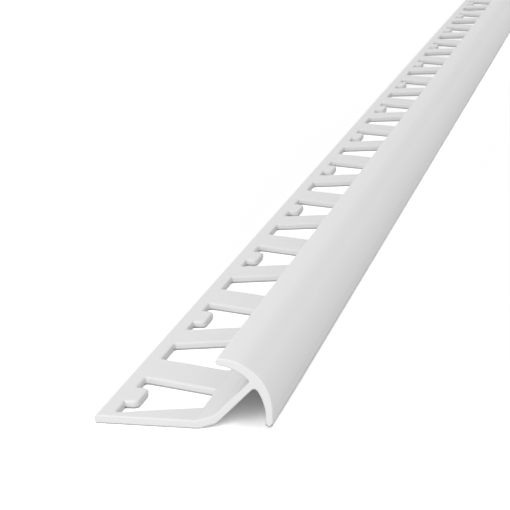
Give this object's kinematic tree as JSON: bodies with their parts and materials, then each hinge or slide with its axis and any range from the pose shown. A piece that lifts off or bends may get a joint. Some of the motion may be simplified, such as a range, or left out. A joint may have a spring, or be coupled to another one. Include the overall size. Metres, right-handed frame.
{
  "type": "outside-corner tile trim",
  "caption": "White PVC corner guard for tiled outside corners: a quarter-round nose on a slanted web, with a flat flange punched with dovetail holes for the adhesive.",
  "frame": {"origin": "middle of the length and width, on the underside of the flange", "axes": "+Y along the extrusion, +X from the flange's free edge to the nose, +Z from the flange up to the nose"},
  "size_m": [0.0246, 1, 0.01],
  "materials": {
    "pvc": "satin"
  },
  "bodies": {
    "root": {"corner_guard": "pvc"}
  },
  "joints": []
}
